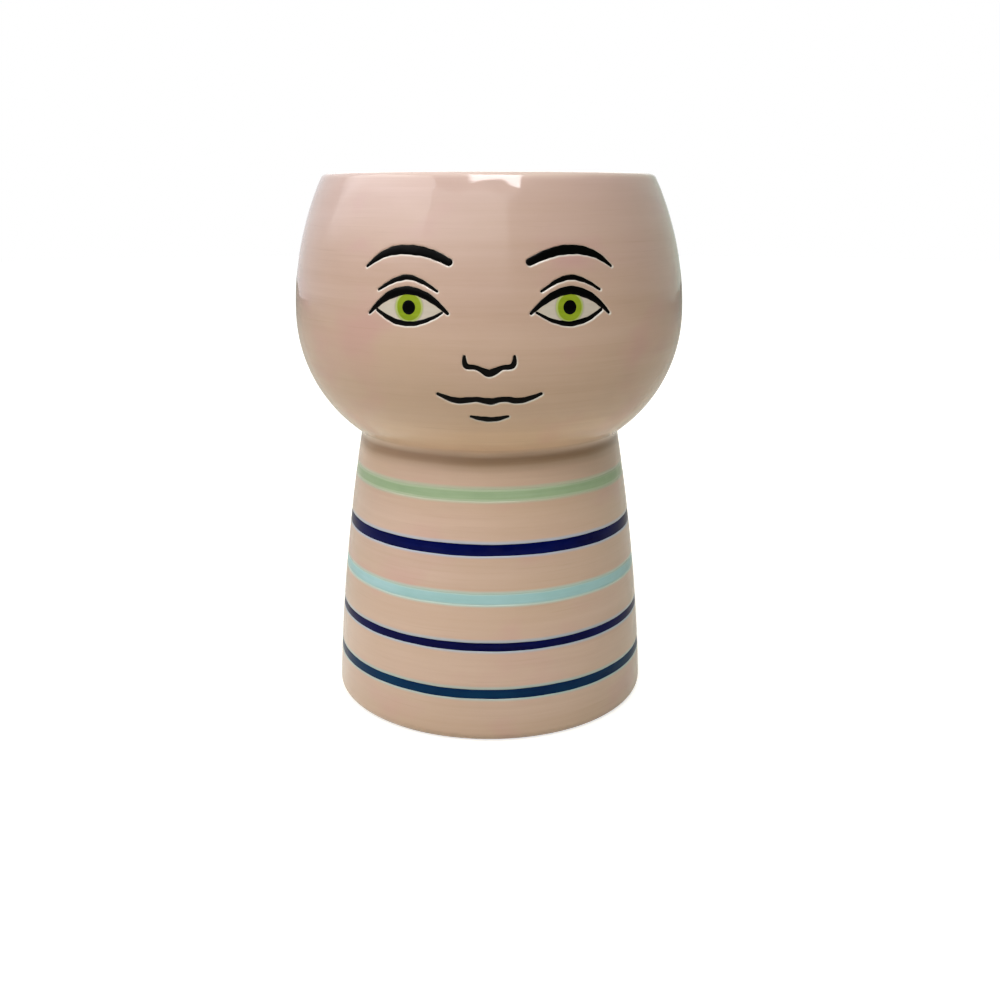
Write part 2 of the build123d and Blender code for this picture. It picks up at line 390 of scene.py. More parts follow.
def even(points):
    """A closed outline with its points spread evenly."""
    closed = np.vstack([points, points[:1]])
    along = np.r_[0, np.cumsum(np.linalg.norm(np.diff(closed, axis=0), axis=1))]
    at = np.linspace(0, along[-1], int(along[-1] / outline_step), endpoint=False)
    return np.column_stack([np.interp(at, along, closed[:, 0]), np.interp(at, along, closed[:, 1])])


def lid_lines(across):
    """Points along the upper and the lower edge of the eye's opening."""
    top = bow(across, eye_width / 2, lid_arch_share * eye_width)
    bottom = -bow(across, eye_width / 2, lid_sag_share * eye_width)
    return np.column_stack([across, top]), np.column_stack([across, bottom])


def opening_outline(height):
    """The eye's whole opening."""
    top, bottom = lid_lines(np.linspace(eye_width / 2, -eye_width / 2, num=80))
    return counterclockwise(even(np.vstack([top, bottom[::-1][1:-1]])) + (0, height))


def white_outline(side, white_side, height):
    """One half of the eye's opening, without the iris."""
    top, bottom = lid_lines(np.linspace(eye_width / 2, 0, num=40))
    angles = np.linspace(pi / 2, -pi / 2, num=30)
    inner_radius = iris_radius - iris_overlap
    iris_edge = np.column_stack([
        inner_radius * np.cos(angles),
        iris_rise_share * eye_width + inner_radius * np.sin(angles),
    ])
    outline = np.vstack([top, iris_edge, bottom[::-1][:-1]])
    return counterclockwise(even(outline) * (side * white_side, 1) + (0, height))


def outward(outline):
    """Outward directions at the points of a counterclockwise outline."""
    way = np.roll(outline, -1, axis=0) - np.roll(outline, 1, axis=0)
    way /= np.linalg.norm(way, axis=1)[:, None]
    return np.column_stack([way[:, 1], -way[:, 0]])


def distance_to(points, outline, batch=2000):
    """Signed distance to an outline, negative inside, and the nearest outward direction."""
    start = outline
    edge = np.roll(outline, -1, axis=0) - start
    length = (edge**2).sum(1)
    normal = np.column_stack([edge[:, 1], -edge[:, 0]]) / np.sqrt(length)[:, None]
    rise = np.where(edge[:, 1] == 0, 1, edge[:, 1])
    distances = np.empty(len(points))
    directions = np.empty((len(points), 2))
    for first in range(0, len(points), batch):
        part = points[first : first + batch]
        away = part[:, None] - start
        share = ((away * edge).sum(2) / length).clip(0, 1)
        gap = away - share[..., None] * edge
        square = (gap**2).sum(2)
        nearest = square.argmin(1)
        crosses = (start[:, 1] > part[:, None, 1]) != ((start + edge)[:, 1] > part[:, None, 1])
        where = start[:, 0] + (part[:, None, 1] - start[:, 1]) * edge[:, 0] / rise
        inside = (crosses & (part[:, None, 0] < where)).sum(1) % 2 == 1
        distance = np.sqrt(square[np.arange(len(part)), nearest])
        distances[first : first + batch] = np.where(inside, -distance, distance)
        directions[first : first + batch] = normal[nearest]
    return distances, directions


def distance_to_all(points, outlines):
    """The least signed distance to several outlines, and the direction that goes with it."""
    found = [distance_to(points, outline) for outline in outlines]
    distances = np.array([d for d, _ in found])
    nearest = distances.argmin(0)
    directions = np.array([d for _, d in found])
    everyone = np.arange(len(points))
    return distances[nearest, everyone], directions[nearest, everyone]


# The face's fills, each with its outline on the plane of its feature
face_height = overall_height - neck_height
eye_height = neck_height + eye_line_share * face_height
nose_height = neck_height + nose_line_share * face_height
mouth_height = neck_height + mouth_line_share * face_height
eye_turn = asin((eye_width + eye_gap) / 2 / float(head_radius(eye_height)))
middle_strokes = (
    ("nose_line", nose_width, nose_height),
    ("mouth_line", mouth_width, mouth_height),
    ("lower_lip_line", mouth_width, mouth_height),
)


def stroke_fills(group, side, seed, prefix=""):
    """Fills of strokes, given with their feature's width and height: node, outline and kind."""
    return [
        (prefix + stroke[0], stroke_outline(*stroke, side, seed + seed_step * number), "stroke")
        for number, stroke in enumerate(group)
    ]


def eye_fills(name, side, seed):
    """One eye's fills: node, outline and kind."""
    iris_centre = (0, eye_height + iris_rise_share * eye_width)
    group = [(part, eye_width, eye_height) for part in ("brow", "lid_crease", "upper_lid", "lower_lid")]
    return stroke_fills(group, side, seed, f"{name}_") + [
        (f"{name}_outer_white", white_outline(side, 1, eye_height), "white"),
        (f"{name}_inner_white", white_outline(side, -1, eye_height), "white"),
        (f"{name}_iris", circle(iris_centre, iris_radius), "iris"),
        (f"{name}_pupil", circle(iris_centre, pupil_radius), "pupil"),
    ]


face_groups = (
    (eye_turn, eye_fills("left", 1, left_eye_seed)),
    (-eye_turn, eye_fills("right", -1, right_eye_seed)),
    (0.0, stroke_fills(middle_strokes, 1, middle_seed)),
)

# Materials. Lengths in them are in metres. A span is what remap takes: the low and the high
# end that it reads, and what they become.

# Noises: scale, detail, roughness, how much finer along each axis, and offset
patterns = {
    "strokes": (6, 4, 0.62, (1.2, 1.2, 34), (0, 0, 0)),
    "fine": (22, 3, 0.6, (1, 1, 26), (3, 1, 0)),
    "hairs": (30, 2, 0.6, (1, 1, 60), (9, 4, 2)),
    "clouds": (17, 3, 0.5, (1, 1, 1.8), (5, 2, 7)),
    "blush": (34, 2, 0.5, (1, 1, 1.5), (1, 8, 3)),
    "ripples": (60, 2, 0.5, (1, 1, 1.6), (0, 0, 0)),
    "clay_grain": (900, 4, 0.7, (1, 1, 1), (0, 0, 0)),
    "clay_clouds": (60, 3, 0.6, (1, 1, 1), (2, 2, 2)),
    "pools": (45, 3, 0.6, (1, 1, 1.5), (0, 0, 0)),
    "brush": (40, 3, 0.6, (1, 1, 22), (0, 0, 0)),
    "glaze_ripples": (160, 2, 0.5, (1, 1, 1), (0, 0, 0)),
    "floor_grain": (40, 2, 0.55, (1, 1, 1), (0, 0, 0)),
}

# The slip: the two tones of its strokes, then tints laid over them in turn, each with its
# pattern and its span there
slip_colours = ((0.590, 0.400, 0.295), (0.650, 0.460, 0.355))
slip_layers = (
    ("fine", (0.35, 0.75, 0.0, 0.35), (0.70, 0.52, 0.41)),
    ("clouds", (0.35, 0.70, 0.0, 0.55), (0.60, 0.42, 0.28)),
    ("blush", (0.54, 0.72, 0.0, 0.55), (0.62, 0.35, 0.31)),
    ("hairs", (0.62, 0.75, 0.0, 0.22), (0.47, 0.29, 0.19)),
)
slip_roughness = (0.38, 0.55)
# Where the pale line along the grooves, partly painted highlight, breaks up
pale_edge_breaks = (0.25, 0.60, 0.75, 1.0)
fine_ridges = 0.5
tint_waver = 0.0006
inside_colour = (0.70, 0.60, 0.48)
speck_colour = (0.30, 0.17, 0.11)
speck_amount = 0.55

# How the slip's tone changes with height, much of it painted light and shade: painted shade darkens the
# crease, painted light brightens the neck just below it and the bowl's underside just above it, and the
# tone turns lilac towards the rim and much paler at the lip's very top
painted_shade_and_slip_tints = (
    (0.0, (1.02, 1.01, 0.98)),
    (20.0, (1.09, 1.08, 1.08)),
    (45.0, (1.10, 1.08, 1.09)),
    (60.0, (1.06, 1.04, 1.04)),
    (neck_height - 19.0, (1.10, 1.09, 1.08)),
    (neck_height - 7.0, (1.19, 1.18, 1.18)),
    (neck_height - 4.8, (0.98, 0.94, 0.88)),
    (neck_height - 3.3, (0.67, 0.58, 0.48)),
    (neck_height - 1.6, (0.65, 0.56, 0.46)),
    (neck_height - 0.2, (0.95, 0.91, 0.84)),
    (neck_height + 1.3, (1.36, 1.34, 1.23)),
    (neck_height + 8.0, (1.30, 1.28, 1.15)),
    (neck_height + 15.0, (1.10, 1.07, 1.00)),
    (neck_height + 26.0, (1.02, 0.98, 0.93)),
    (185.0, (1.00, 0.98, 1.11)),
    (overall_height - 2.0, (1.02, 1.00, 1.13)),
    (overall_height - 0.5, (1.32, 1.44, 1.66)),
)

# Bare clay: the two tones of its grain, and a darker one in clouds
clay_colours = ((0.56, 0.47, 0.37), (0.70, 0.62, 0.52))
clay_cloud_span = (0.45, 0.75, 0.0, 0.5)
clay_cloud_colour = (0.50, 0.40, 0.31)
clay_roughness = (0.75, 0.95)

# Coloured glazes: where it pools, where it is thin, its edge and the edge's width, the
# offset of its patterns, and how much clear glaze it has
coloured_glazes = {
    "sage_glaze": ((0.35, 0.48, 0.28), (0.44, 0.56, 0.35), (0.52, 0.60, 0.41), 0.65, (1, 2, 3), 1.0),
    "navy_glaze": ((0.0, 0.0002, 0.040), (0.0, 0.004, 0.085), (0.0, 0.002, 0.03), 0.25, (4, 1, 2), 0.3),
    "aqua_glaze": ((0.37, 0.61, 0.60), (0.45, 0.68, 0.70), (0.50, 0.67, 0.62), 0.35, (7, 3, 1), 0.6),
    "teal_glaze": ((0.0, 0.018, 0.075), (0.0, 0.042, 0.105), (0.0, 0.014, 0.05), 0.25, (2, 5, 8), 0.3),
    "black_glaze": (
        (0.0006, 0.0005, 0.0005), (0.002, 0.0018, 0.0015), (0.001, 0.001, 0.001), 0.15, (3, 3, 6), 0.3
    ),
    "pale_glaze": ((0.62, 0.54, 0.44), (0.70, 0.63, 0.54), (0.52, 0.45, 0.36), 0.4, (6, 1, 4), 1.0),
    "lime_glaze": ((0.25, 0.34, 0.012), (0.36, 0.45, 0.03), (0.50, 0.55, 0.20), 0.55, (8, 4, 1), 1.0),
}
pool_span = (0.35, 0.7, 0.0, 0.7)
brush_span = (0.4, 0.7, 0.0, 0.4)
rim_waver = 0.3
rim_softness = 0.25
rim_amount = 0.9
colour_roughness = (0.25, 0.45)


def add_node(tree, kind, inputs=(), **settings):
    """A node with its settings, and its inputs given as values or as sockets to link."""
    node = tree.nodes.new("ShaderNode" + kind)
    for name, value in settings.items():
        setattr(node, name, value)
    for name, value in dict(inputs).items():
        if isinstance(value, bpy.types.NodeSocket):
            tree.links.new(value, node.inputs[name])
        else:
            node.inputs[name].default_value = value
    return node


def new_material(name):
    """A material, its node tree and the place on the piece."""
    material = bpy.data.materials.new(name)
    material.use_nodes = True
    tree = material.node_tree
    tree.nodes.clear()
    return material, tree, add_node(tree, "TexCoord").outputs["Object"]


def noise(where, pattern, offset=None):
    """Values of a pattern between 0 and 1, at its own offset or at another."""
    scale, detail, roughness, finer, own_offset = patterns[pattern]
    inputs = {"Vector": where, "Scale": finer, "Location": offset or own_offset}
    place_in_it = add_node(where.id_data, "Mapping", inputs).outputs["Vector"]
    inputs = {"Vector": place_in_it, "Scale": scale, "Detail": detail, "Roughness": roughness}
    return add_node(where.id_data, "TexNoise", inputs).outputs["Fac"]


def remap(value, low, high, new_low=0.0, new_high=1.0):
    """A value taken from one range to another, which it can't leave."""
    ranges = {"From Min": low, "From Max": high, "To Min": new_low, "To Max": new_high}
    return add_node(value.id_data, "MapRange", {"Value": value, **ranges}).outputs["Result"]


def spread(value, new_low=0.0, new_high=1.0):
    """The usual range of a noise taken to another."""
    return remap(value, 0.3, 0.7, new_low, new_high)


def maths(operation, first, second):
    inputs = {0: first, 1: second}
    return add_node(first.id_data, "Math", inputs, operation=operation).outputs[0]


def product(spans):
    """Remapped values multiplied together. Each is given as the value and its span."""
    result = 1.0
    for value, *span in spans:
        result = maths("MULTIPLY", remap(value, *span), result)
    return result


def mix(tree, amount, first, second, blend="MIX"):
    """Two colours mixed. Each is a tuple or a socket."""
    first, second = ((*c, 1) if isinstance(c, tuple) else c for c in (first, second))
    inputs = {0: amount, 6: first, 7: second}
    return add_node(tree, "Mix", inputs, data_type="RGBA", blend_type=blend).outputs[2]


def attribute(tree, name):
    return add_node(tree, "Attribute", attribute_name=name)


def bumped(height, strength, distance):
    inputs = {"Height": height, "Strength": strength, "Distance": distance}
    return add_node(height.id_data, "Bump", inputs).outputs["Normal"]


def surface(tree, inputs):
    shader = add_node(tree, "BsdfPrincipled", inputs)
    add_node(tree, "OutputMaterial", {"Surface": shader.outputs["BSDF"]})


def glazed(tree, colour, roughness, bump, coat_bump, coat=1.0, coat_ior=1.5, specular=0.3):
    """Coloured ceramic under a clear glaze."""
    surface(tree, {
        "Base Color": colour,
        "Roughness": roughness,
        "Specular IOR Level": specular,
        "Coat Weight": coat,
        "Coat Roughness": 0.04,
        "Coat IOR": coat_ior,
        "Normal": bumped(bump, strength=0.35, distance=0.0002),
        "Coat Normal": bumped(coat_bump, strength=0.6, distance=0.0005),
    })


def specks(where, scale=210, size=0.16, rarity=0.022, core=0.4):
    """Scattered dots: 1 in the core of a dot, 0 between the dots."""
    cells = add_node(where.id_data, "TexVoronoi", {"Vector": where, "Scale": scale})
    chosen = maths("LESS_THAN", cells.outputs["Color"], rarity)
    dot = remap(cells.outputs["Distance"], size, size * core)
    return maths("MULTIPLY", chosen, dot)


def ramp(share, tints):
    """A colour that follows a table of heights in millimetres and colours."""
    node = add_node(share.id_data, "ValToRGB", {"Fac": share})
    stops = node.color_ramp.elements
    while len(stops) < len(tints):
        stops.new(0.5)
    for stop, (height, _) in zip(stops, tints):
        stop.position = height / overall_height
    for stop, (_, colour) in zip(stops, tints):
        stop.color = (*colour, 1)
    return node.outputs["Color"]


def body_glaze():
    """Pink-beige slip, brushed on round the vase, under a clear glaze."""
    material, tree, where = new_material("body_glaze")
    names = ("strokes", "fine", "hairs", "clouds", "blush", "ripples")
    noises = {name: noise(where, name) for name in names}
    colour = mix(tree, spread(noises["strokes"]), *slip_colours)
    for name, span, tint in slip_layers:
        colour = mix(tree, remap(noises[name], *span), colour, tint)
    # Tones by height, with painted shade in the crease and painted light on the neck's top and the
    # bowl's underside
    height = add_node(tree, "SeparateXYZ", {"Vector": where}).outputs["Z"]
    stray = spread(noises["clouds"], -tint_waver, tint_waver)
    share = remap(maths("ADD", height, stray), 0.0, overall_height * MM)
    colour = mix(tree, 1.0, colour, ramp(share, painted_shade_and_slip_tints), "MULTIPLY")
    amount = maths("MULTIPLY", specks(where), speck_amount)
    colour = mix(tree, amount, colour, speck_colour)
    colour = mix(tree, attribute(tree, "inside").outputs["Fac"], colour, inside_colour)
    # Pale line along the face's grooves, partly painted highlight, and the pale glaze at the bands'
    # edges
    edge = attribute(tree, "edge")
    breaks = remap(noises["fine"], *pale_edge_breaks)
    amount = maths("MULTIPLY", edge.outputs["Alpha"], breaks)
    colour = mix(tree, amount, colour, edge.outputs["Color"])
    roughness = spread(noises["fine"], *slip_roughness)
    ridges = maths("MULTIPLY", noises["fine"], fine_ridges)
    ridges = maths("ADD", noises["strokes"], ridges)
    glazed(tree, colour, roughness, ridges, noises["ripples"])
    return material


def bare_clay():
    """Unglazed clay, ground flat."""
    material, tree, where = new_material("bare_clay")
    grain = noise(where, "clay_grain")
    clouds = noise(where, "clay_clouds")
    colour = mix(tree, spread(grain), *clay_colours)
    colour = mix(tree, remap(clouds, *clay_cloud_span), colour, clay_cloud_colour)
    surface(tree, {
        "Base Color": colour,
        "Roughness": spread(grain, *clay_roughness),
        "Normal": bumped(grain, strength=0.6, distance=0.0002),
    })
    return material


def coloured_glaze(name, deep, thin, rim, rim_width, offset, coat):
    """A glaze that pools and thins along its stroke, with another tone along its edge."""
    material, tree, where = new_material(name)
    pools = noise(where, "pools", offset)
    brush = noise(where, "brush", offset)
    pooled = remap(pools, *pool_span)
    amount = maths("ADD", pooled, remap(brush, *brush_span))
    colour = mix(tree, amount, deep, thin)
    stray = maths("MULTIPLY", spread(pools, -rim_waver, rim_waver), rim_width)
    inset = maths("ADD", attribute(tree, "inset").outputs["Fac"], stray)
    rim_start = rim_width * (1 + rim_softness)
    rim_end = rim_width * (1 - rim_softness)
    colour = mix(tree, remap(inset, rim_start, rim_end, 0.0, rim_amount), colour, rim)
    roughness = spread(pools, *colour_roughness)
    ripples = noise(where, "glaze_ripples", offset)
    glazed(tree, colour, roughness, brush, ripples, coat, coat_ior=1.28, specular=0.02)
    return material


body = body_glaze()
clay = bare_clay()
glazes = {name: coloured_glaze(name, *row) for name, row in coloured_glazes.items()}

# Pieces


def make_piece(name, points, faces, materials, layers, face_materials=None):
    """A mesh piece that stands for the CAD node of its name. Points are in millimetres.

    Its layers are values at the points that its materials read: numbers, or colours.
    """
    mesh = bpy.data.meshes.new(name + "_look")
    mesh.from_pydata((np.asarray(points) * MM).tolist(), [], faces)
    for layer_name, values in layers.items():
        kind, field = ("FLOAT", "value") if values.ndim == 1 else ("FLOAT_COLOR", "color")
        layer = mesh.attributes.new(layer_name, kind, "POINT")
        layer.data.foreach_set(field, values.astype(np.float32).ravel())
    for material in materials:
        mesh.materials.append(material)
    if face_materials is not None:
        mesh.polygons.foreach_set("material_index", face_materials)
    mesh.polygons.foreach_set("use_smooth", [True] * len(mesh.polygons))
    shape = bmesh.new()
    shape.from_mesh(mesh)
    bmesh.ops.remove_doubles(shape, verts=shape.verts, dist=2e-6)
    bmesh.ops.recalc_face_normals(shape, faces=shape.faces)
    shape.to_mesh(mesh)
    shape.free()
    mesh.set_sharp_from_angle(angle=radians(40))
    piece = bpy.data.objects.new(name + "_look", mesh)
    bpy.context.scene.collection.objects.link(piece)
    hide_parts(name)
    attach(piece, "root")
    return piece


def ring_faces(rows, count, closed):
    """Quads between rows of points that go round the vase."""
    faces = []
    for row in range(rows if closed else rows - 1):
        low, high = row * count, (row + 1) % rows * count
        for column in range(count):
            beside = (column + 1) % count
            faces.append((low + column, low + beside, high + beside, high + column))
    return faces


def triangulated(points, chains):
    """Triangles over points in a plane, with the chains of points kept as edges."""
    result = delaunay_2d_cdt([Vector(p) for p in points], chains, [], 0, cut_tolerance)
    return np.array([tuple(v) for v in result[0]]), [tuple(f) for f in result[2]]


def level_loops(outline, levels, outlines, tolerance=0.02):
    """Points at set distances from an outline, in chains, where no other outline is nearer."""
    points = []
    chains = []
    directions = outward(outline)
    following = np.roll(np.arange(len(outline)), -1)
    for level in levels:
        moved = outline + level * directions
        distance, _ = distance_to_all(moved, outlines)
        kept = np.abs(distance - level) < tolerance
        index = np.cumsum(kept) - 1 + len(points)
        points += [tuple(p) for p in moved[kept]]
        joined = kept & kept[following]
        chains += np.column_stack([index, index[following]])[joined].tolist()
    return points, chains


azimuths = np.linspace(-pi, pi, columns, endpoint=False)


def head_profile():
    """Rows of the head's section: up its outside, over the lip and down its inside."""
    outside = arc(crease_centre, crease_rounding, seam_angle, crease_end, count=7)
    lip_height = overall_height - lip_rounding
    outer_lip = (float(head_radius(lip_height, lip_rounding)), lip_height)
    inner_lip = (float(head_radius(lip_height, wall - lip_rounding)), lip_height)
    rise = lip_height - wide_height
    outer_angle = np.degrees(asin(rise / (upper_side_radius - lip_rounding)))
    inner_angle = np.degrees(asin(rise / (upper_side_radius - wall + lip_rounding)))
    lip = arc(outer_lip, lip_rounding, outer_angle, 90, count=8)
    lip += arc(inner_lip, lip_rounding, 90, 180 + inner_angle, count=12)[1:]
    bottom, top = outside[-1][1], lip[0][1]
    heights = np.linspace(bottom, top, int((top - bottom) / head_row_step))
    outside += [(float(head_radius(z)), z) for z in heights[1:-1]]
    throat_top = throat_height + throat_top_share * throat_rounding
    heights = np.linspace(lip[-1][1], throat_top, num=44)
    inside = [(float(head_radius(z, wall)), z) for z in heights[1:]]
    inside += [
        (throat_radius + across * throat_rounding, throat_height + up * throat_rounding)
        for across, up in throat_corner_shares
    ]
    collar_height = neck_height - collar_depth
    inside += [
        (throat_radius, collar_height),
        (collar_radius, collar_height),
        (collar_radius, neck_height),
    ]
    return outside, lip, inside


def groove_outlines(turn, fills):
    """Where the clay is sunk on a feature's plane: its strokes, and an eye's whole opening."""
    outlines = [outline for _, outline, kind in fills if kind == "stroke"]
    if turn:
        outlines.append(opening_outline(eye_height))
    return outlines


def face_distance(points):
    """Signed distance to the nearest groove of the face, and the direction away from it."""
    best = np.full(len(points), np.inf)
    directions = np.zeros((len(points), 2))
    radii = head_radius(points[:, 1])
    for turn, fills in face_groups:
        across = radii * np.sin(points[:, 0] - turn)
        outlines = groove_outlines(turn, fills)
        distance, direction = distance_to_all(np.column_stack([across, points[:, 1]]), outlines)
        nearer = distance < best
        best[nearer] = distance[nearer]
        directions[nearer] = direction[nearer]
    return best, directions


def face_patch(rows):
    """The face's part of the head as azimuths and heights, its triangles and its rows."""
    heights = np.array([z for _, z in rows if face_bottom < z < face_top])
    grid = np.array([(a, z) for z in heights for a in azimuths[face_first : face_last + 1]])
    border = ((grid == grid.min(0)) | (grid == grid.max(0))).any(1)
    points = []
    chains = []
    for turn, fills in face_groups:
        outlines = groove_outlines(turn, fills)
        for outline in outlines:
            loops, loop_chains = level_loops(outline, groove_offsets, outlines)
            loops = np.array(loops)
            azimuth = turn + np.arcsin(loops[:, 0] / head_radius(loops[:, 1]))
            chains += [(a + len(points), b + len(points)) for a, b in loop_chains]
            points += [tuple(p) for p in np.column_stack([azimuth, loops[:, 1]])]
    distance, _ = face_distance(grid)
    points = np.vstack([np.array(points), grid[border | (distance > clear_of_grooves)]])
    flat, faces = triangulated(points * (wide_radius, 1), chains)
    return flat / (wide_radius, 1), faces, heights


def head_piece():
    """Head with the face's grooves. Rings go all round it, save where the face's part is."""
    outside, lip, hollow = head_profile()
    rows = outside + lip + hollow
    flat, face_faces, face_heights = face_patch(outside)
    points = [place(azimuths, np.full(columns, height), radius) for radius, height in rows]
    faces = []
    for number, face in enumerate(ring_faces(len(rows), columns, True)):
        ring, column = divmod(number, columns)
        low, high = rows[ring][1], rows[(ring + 1) % len(rows)][1]
        beside_face = column < face_first or column >= face_last
        if ring >= len(outside) or beside_face or low < face_heights[0] or high > face_heights[-1]:
            faces.append(face)
    start = columns * len(rows)
    faces += [tuple(start + i for i in face) for face in face_faces]
    distance, direction = face_distance(flat)
    depth = np.interp(distance, groove_offsets, groove_depths)
    points.append(place(flat[:, 0], flat[:, 1], head_radius(flat[:, 1], depth)))
    glazed_rows = len(outside) + len(lip) - len(lip_turn)
    turned = np.r_[np.zeros(glazed_rows), lip_turn, np.ones(len(hollow))]
    # Pale line along the grooves: a painted highlight, wider and stronger on the side that faces the
    # lower right
    facing = (direction @ highlight_side_way).clip(-1, 1)
    reach = pale_edge_reach + pale_edge_reach_change * facing
    amount = np.interp(distance / reach, pale_edge_fade, (1, 0))
    amount *= narrow_side_share + (1 - narrow_side_share) * facing.clip(0, 1)
    edge = np.zeros((start + len(flat), 4))
    edge[:, :3] = groove_edge_and_highlight_colour
    edge[start:, 3] = np.where(distance < groove_offsets[-1], amount, 0)
    layers = {"edge": edge, "inside": np.r_[np.repeat(turned, columns), np.zeros(len(flat))]}
    make_piece("head_bowl", np.vstack(points), faces, [body], layers)


def band_waver(name, upper):
    """How a band's painted edge strays up and down round the vase."""
    seed = sum(ord(letter) for letter in name) + (1 if upper else 0)
    phases = np.random.default_rng(seed).uniform(0, 2 * pi, len(band_waves))
    return sum(s * np.sin(n * azimuths + p) for (s, n), p in zip(band_waves, phases))


def neck_piece():
    """Neck with its grooves. Each row has heights, radii, a tint, a paleness and a place."""
    rows = []

    def add_row(height, depth=0.0, tint=(1, 1, 1), pale=0.0, shift=0.0):
        heights = height + shift + np.zeros(columns)
        rows.append((heights, neck_radius(heights, depth), tint, pale, "outside"))

    def add_rings(kind, rings):
        for radius, height in rings:
            rows.append((np.full(columns, height), radius, (1, 1, 1), 0.0, kind))

    foot_centre = (float(neck_radius(foot_rounding, foot_rounding)), foot_rounding)
    foot_rise = (foot_rounding - neck_centre_height) / (neck_side_radius - foot_rounding)
    ring_radius = foot_radius - foot_rounding - foot_ring_width
    add_rings("underside", [
        (hub_radius, foot_recess),
        (ring_radius / 2, foot_recess),
        (ring_radius - recess_slope_width, foot_recess),
        (ring_radius - recess_edge_width, recess_edge_height),
    ])
    add_rings("ring", [(ring_radius, 0.0), ((ring_radius + foot_centre[0]) / 2, 0.0)])
    foot_part = arc(foot_centre, foot_rounding, -90, np.degrees(asin(foot_rise)), count=9)
    add_rings("foot", foot_part)
    height_now = foot_part[-1][1]
    for name, height_share, width, tint in bands:
        low = height_share * neck_height - width / 2
        high = low + width
        below = low - below_band[-1][0]
        count = max(2, int((below - height_now) / neck_row_step))
        for height in np.linspace(height_now, below, count)[1:-1]:
            add_row(height)
        low_shift = band_waver(name, False)
        high_shift = band_waver(name, True)
        for offset, depth, pale in reversed(below_band):
            add_row(low - offset, depth, tint, pale, low_shift)
        for offset, depth in in_band:
            add_row(low + offset, depth, tint, 1, low_shift)
        for offset, depth in reversed(in_band):
            add_row(high - offset, depth, tint, 1, high_shift)
        for offset, depth, pale in above_band:
            add_row(high + offset, depth, tint, pale, high_shift)
        height_now = high + above_band[-1][0]
    crease_part = arc(crease_centre, crease_rounding, crease_start, seam_angle, count=7)
    for height in np.linspace(height_now, crease_part[0][1], num=5)[1:-1]:
        add_row(height)
    add_rings("outside", crease_part)
    rebate_radius = collar_radius + slip_gap
    add_rings("inside", [
        (rebate_radius, neck_height),
        (rebate_radius, rebate_height),
        (throat_radius, rebate_height),
    ])
    floor_height = foot_recess + floor_thickness
    middle_height = (floor_height + rebate_height) / 2
    centre_radius, centre_height, side_radius = circle_through(
        (throat_radius, rebate_height),
        (float(neck_radius(middle_height, wall)), middle_height),
        (float(neck_radius(floor_height, wall)), floor_height),
    )

    def hollow_radius(height, depth=0.0):
        return centre_radius + sqrt((side_radius - depth) ** 2 - (height - centre_height) ** 2)

    rounding_height = floor_height + floor_rounding
    rounding_centre = (hollow_radius(rounding_height, floor_rounding), rounding_height)
    heights = np.linspace(rebate_height, rounding_height, num=24)
    add_rings("inside", [(hollow_radius(height), height) for height in heights[1:-1]])
    add_rings("inside", arc(rounding_centre, floor_rounding, 0, -90, count=9))
    add_rings("inside", [(rounding_centre[0] / 2, floor_height), (hub_radius, floor_height)])
    points = np.vstack([place(azimuths, heights, radius) for heights, radius, *_ in rows])
    faces = ring_faces(len(rows), columns, False)
    kinds = [kind for *_, kind in rows]
    face_materials = [1 if kinds[i // columns] == "ring" else 0 for i in range(len(faces))]
    for row in (0, len(rows) - 1):
        faces.append(tuple(row * columns + i for i in range(columns)))
        face_materials.append(0)
    edge = np.vstack([np.tile((*tint, pale), (columns, 1)) for _, _, tint, pale, _ in rows])
    inside = np.repeat([1.0 if kind == "inside" else 0.0 for kind in kinds], columns)
    layers = {"edge": edge, "inside": inside}
    make_piece("neck_body", points, faces, [body, clay], layers, face_materials)


def bead(inset, edge_depth, height, softness=0.35):
    """Depth of a fill's surface at a distance inside its edge."""
    return edge_depth - height * (1 - np.exp(-np.asarray(inset) / softness))


def band_piece(name, height_share, width, slot):
    """A band's fill: a ring with a swelling surface and a plain bottom in its groove."""
    middle = height_share * neck_height
    half = np.r_[band_insets, width / 2]
    insets = np.r_[half, half[-2::-1]]
    across = np.r_[half, width - half[-2::-1]]
    low = middle - width / 2 + band_waver(name, False)
    high = middle + width / 2 + band_waver(name, True)
    points = []
    for share, inset in zip(across / width, insets):
        heights = low + share * (high - low)
        depth = bead(inset, band_edge_depth, band_swelling)
        points.append(place(azimuths, heights, neck_radius(heights, depth)))
    for heights in (high, low):
        points.append(place(azimuths, heights, neck_radius(heights, fill_bottom)))
    faces = ring_faces(len(points), columns, True)
    layers = {"inset": np.repeat(np.r_[insets, 0, 0], columns)}
    make_piece(name, np.vstack(points), faces, [glazes[slot]], layers)


def fill_piece(name, outline, turn, kind):
    """A fill of the face: a closed body under a swelling surface."""
    slot, edge_depth, height = fill_kinds[kind]
    points = [tuple(p) for p in outline]
    chains = [(i, (i + 1) % len(points)) for i in range(len(points))]
    loops, loop_chains = level_loops(outline, [-inset for inset in fill_insets], [outline])
    chains += [(a + len(points), b + len(points)) for a, b in loop_chains]
    flat, faces = triangulated(points + loops, chains)
    middles = np.array([flat[list(face)].mean(0) for face in faces])
    distance, _ = distance_to(middles, outline)
    faces = [face for face, away in zip(faces, distance) if away < 0]
    inset = (-distance_to(flat, outline)[0]).clip(0)
    azimuth = turn + np.arcsin(flat[:, 0] / head_radius(flat[:, 1]))
    top = place(azimuth, flat[:, 1], head_radius(flat[:, 1], bead(inset, edge_depth, height)))
    bottom = place(azimuth, flat[:, 1], head_radius(flat[:, 1], fill_bottom))
    count = len(flat)
    sides = [side for face in faces for side in zip(face, face[1:] + face[:1])]
    known = set(sides)
    solid = faces + [tuple(count + i for i in reversed(face)) for face in faces]
    solid += [(b, a, a + count, b + count) for a, b in sides if (b, a) not in known]
    layers = {"inset": np.r_[inset, inset]}
    make_piece(name, np.vstack([top, bottom]), solid, [glazes[slot]], layers)


